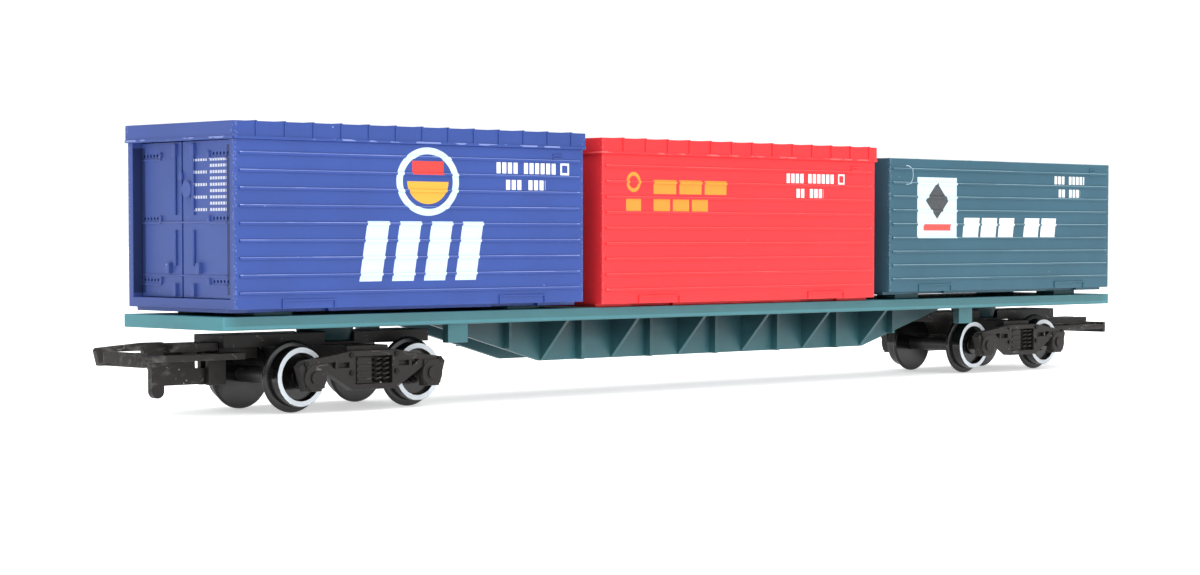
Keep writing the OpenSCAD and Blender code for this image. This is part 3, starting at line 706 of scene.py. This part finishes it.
def woundCoil(x, y):
    height = spring["high"] - spring["low"] - 2 * spring["wire"]
    bpy.ops.mesh.primitive_circle_add(
        vertices=spring["sides"], radius=spring["wire"] * mm, rotation=(math.pi / 2, 0, 0))
    coil = bpy.context.object
    bpy.ops.object.transform_apply(location=False, rotation=True, scale=False)
    bpy.ops.object.mode_set(mode="EDIT")
    bpy.ops.mesh.select_all(action="SELECT")
    bpy.ops.transform.translate(value=(spring["radius"] * mm, 0, 0))
    bpy.ops.object.mode_set(mode="OBJECT")
    winding = coil.modifiers.new("wind", "SCREW")
    winding.axis = "Z"
    winding.iterations = spring["turns"]
    winding.screw_offset = height / spring["turns"] * mm
    winding.steps = winding.render_steps = spring["steps"]
    winding.use_smooth_shade = True
    applyModifiers(coil)
    bpy.ops.object.mode_set(mode="EDIT")
    bpy.ops.mesh.select_all(action="DESELECT")
    bpy.ops.mesh.select_mode(type="EDGE")
    bpy.ops.mesh.select_non_manifold()
    bpy.ops.mesh.fill_holes(sides=0)
    bpy.ops.mesh.select_all(action="SELECT")
    bpy.ops.mesh.normals_make_consistent(inside=False)
    bpy.ops.object.mode_set(mode="OBJECT")
    coil.location = (x, y, (spring["low"] + spring["wire"]) * mm)
    return coil


def ribbedBlock(x, y):
    left, right = spring["block"]
    tall = spring["high"] - spring["low"]
    bpy.ops.mesh.primitive_cube_add(size=1, location=(x, y, (spring["low"] + tall / 2) * mm))
    core = bpy.context.object
    core.scale = ((right - left) * mm, 2 * spring["blockHalf"] * mm, tall * mm)
    bpy.ops.object.transform_apply(location=False, rotation=False, scale=True)
    roundEdges(core, spring["round"]["block"])
    parts = [core]
    for i in range(spring["ribs"]):
        z = spring["low"] + (i + spring["ribFirst"]) * tall / spring["ribs"]
        bpy.ops.mesh.primitive_cube_add(size=1, location=(x, y, z * mm))
        rib = bpy.context.object
        deep = 2 * (spring["blockHalf"] + spring["ribOut"])
        rib.scale = [length * mm for length in (right - left - spring["ribShort"], deep, spring["ribHeight"])]
        bpy.ops.object.transform_apply(location=False, rotation=False, scale=True)
        roundEdges(rib, spring["round"]["rib"])
        parts.append(rib)
    return parts


def backing(endX, way):
    left, right, y, thick = spring["backing"]
    tall = spring["high"] - spring["low"]
    place = (endX - way * (left + right) / 2, way * y, spring["low"] + tall / 2)
    bpy.ops.mesh.primitive_cube_add(size=1, location=[length * mm for length in place])
    plate = bpy.context.object
    plate.scale = ((right - left) * mm, thick * mm, tall * mm)
    bpy.ops.object.transform_apply(location=False, rotation=False, scale=True)
    roundEdges(plate, spring["round"]["backing"])
    return plate


for end, endX in (("a", -darkLook["pivotX"]), ("b", darkLook["pivotX"])):
    for side, way in (("near", -1), ("far", 1)):
        node = f"springs_{end}_{side}"
        y = way * spring["y"] * mm
        parts = ribbedBlock((endX - way * sum(spring["block"]) / 2) * mm, y)
        parts += [woundCoil((endX - way * offset) * mm, y) for offset in spring["coils"]]
        parts.append(backing(endX, way))
        piece = joined(parts, node + "_wound")
        smooth(piece, 50)
        hand(piece, bodyOf[node], finishes["dark"], [node])
print("springs wound")


# ejector marks that a mould leaves under the deck and on the open container's floor

ejector = {
    "radius": 1.3, "height": 0.09, "sides": 32, "rim": 0.16, "step": 0.1, "sink": 0.05,
    "deck": {"count": 9, "pitch": 27, "middle": 0, "y": 9.4, "z": 15.6},
    "container": {"count": 4, "pitch": 19, "middle": boxLooks["green"]["middle"], "y": 9, "z": 19.8},
}


def ejectorDisc(x, y, z):
    bpy.ops.mesh.primitive_cylinder_add(
        vertices=ejector["sides"], radius=ejector["radius"] * mm, depth=ejector["height"] * 2 * mm,
        location=(x * mm, y * mm, z * mm))
    disc = bpy.context.object
    bpy.ops.object.mode_set(mode="EDIT")
    bpy.ops.mesh.select_all(action="DESELECT")
    bpy.ops.object.mode_set(mode="OBJECT")
    for face in disc.data.polygons:
        face.select = abs(face.normal.z) > 0.9
    bpy.ops.object.mode_set(mode="EDIT")
    bpy.ops.mesh.inset(thickness=ejector["rim"] * mm)
    bpy.ops.mesh.inset(thickness=ejector["step"] * mm, depth=-ejector["sink"] * mm)
    bpy.ops.object.mode_set(mode="OBJECT")
    return disc


def ejectorMarks(part, finish):
    rows = ejector[part]
    xs = [rows["middle"] + (i - (rows["count"] - 1) / 2) * rows["pitch"] for i in range(rows["count"])]
    discs = [ejectorDisc(x, way * rows["y"], rows["z"]) for x in xs for way in (-1, 1)]
    piece = joined(discs, part + "_ejector_marks")
    smooth(piece, 30)
    hand(piece, "wagon", finishes[finish])


ejectorMarks("deck", "teal")
ejectorMarks("container", "green")
print("ejector marks placed")


# floor, lights and camera

floorLook = {
    "size": 12, "pale": (0.86, 0.86, 0.86, 1), "paler": (0.9, 0.9, 0.9, 1), "cloudSize": 60,
    "rough": (0.5, 0.1), "roughSize": 20, "waveSize": 8, "waveDepth": 0.02, "glowReach": (150, 900),
    "glowNear": (0.52, 0.52, 0.52, 1), "glowFar": (0.9, 0.9, 0.9, 1),
}


def floorFinish():
    finish = Finish("pale_floor")
    look = floorLook
    colour = finish.mix(finish.noise(look["cloudSize"], 2), look["pale"], look["paler"])
    least, more = look["rough"]
    roughness = finish.noise(look["roughSize"], 2) * more + least
    reach = finish.x.length(finish.y).ramp(*look["glowReach"])
    glow = finish.mix(reach, look["glowNear"], look["glowFar"])
    finish.tree.links.new(glow.socket, finish.shader.inputs["Emission Color"])
    relief = finish.relief(finish.noise(look["waveSize"], 2), look["waveDepth"])
    return finish.done(colour, roughness, relief, Specular_IOR_Level=0.3, Emission_Strength=1.0)


bpy.ops.mesh.primitive_plane_add(size=floorLook["size"], location=(0, 0, 0))
floor = bpy.context.object
floor.name = "pale_floor"
floor.data.materials.append(floorFinish())

studio = {
    "sky": (1.0, 1.0, 1.0, 1), "skySeen": 1.1, "skyLight": 0.42,
    "lamps": [
        ("overhead", (0.05, -0.05, 0.75), 1.5, 1.2, 13),
        ("front", (0.1, -0.9, 0.4), 1.0, 0.6, 3.4),
        ("left", (-0.95, -0.1, 0.35), 0.7, 0.5, 1.9),
    ],
}
world = bpy.data.worlds.new("studio")
bpy.context.scene.world = world
world.use_nodes = True
sky = world.node_tree.nodes["Background"]
sky.inputs["Color"].default_value = studio["sky"]
path = world.node_tree.nodes.new("ShaderNodeLightPath")
seen = world.node_tree.nodes.new("ShaderNodeMapRange")
seen.inputs["To Min"].default_value = studio["skyLight"]
seen.inputs["To Max"].default_value = studio["skySeen"]
world.node_tree.links.new(path.outputs["Is Camera Ray"], seen.inputs["Value"])
world.node_tree.links.new(seen.outputs[0], sky.inputs["Strength"])
for name, place, wide, tall, power in studio["lamps"]:
    bpy.ops.object.light_add(type="AREA", location=place)
    lamp = bpy.context.object
    lamp.name = "lamp_" + name
    lamp.data.shape = "RECTANGLE"
    lamp.data.size, lamp.data.size_y = wide, tall
    lamp.data.energy = power
    lamp.rotation_mode = "QUATERNION"
    lamp.rotation_quaternion = (Vector((0, 0, 0.02)) - Vector(place)).to_track_quat("-Z", "Y")

view = {
    "place": (-0.37514, -0.36058, 0.03037), "ahead": (0.69634, 0.71647, -0.04231), "lens": 76.78,
    "shift": (-0.0019, 0.0477), "near": 0.01, "far": 30,
}
ahead = Vector(view["ahead"]).normalized()
across = ahead.cross(Vector((0, 0, 1))).normalized()
upward = across.cross(ahead)
eye = bpy.data.cameras.new("view")
camera = bpy.data.objects.new("view", eye)
bpy.context.scene.collection.objects.link(camera)
turned = Matrix((across, upward, -ahead)).transposed().to_4x4()
camera.matrix_world = Matrix.Translation(view["place"]) @ turned
eye.lens = view["lens"]
eye.shift_x, eye.shift_y = view["shift"]
eye.clip_start, eye.clip_end = view["near"], view["far"]
eye.dof.use_dof = False
bpy.context.scene.camera = camera
bpy.context.scene.view_settings.view_transform = "Standard"
print("stage set")
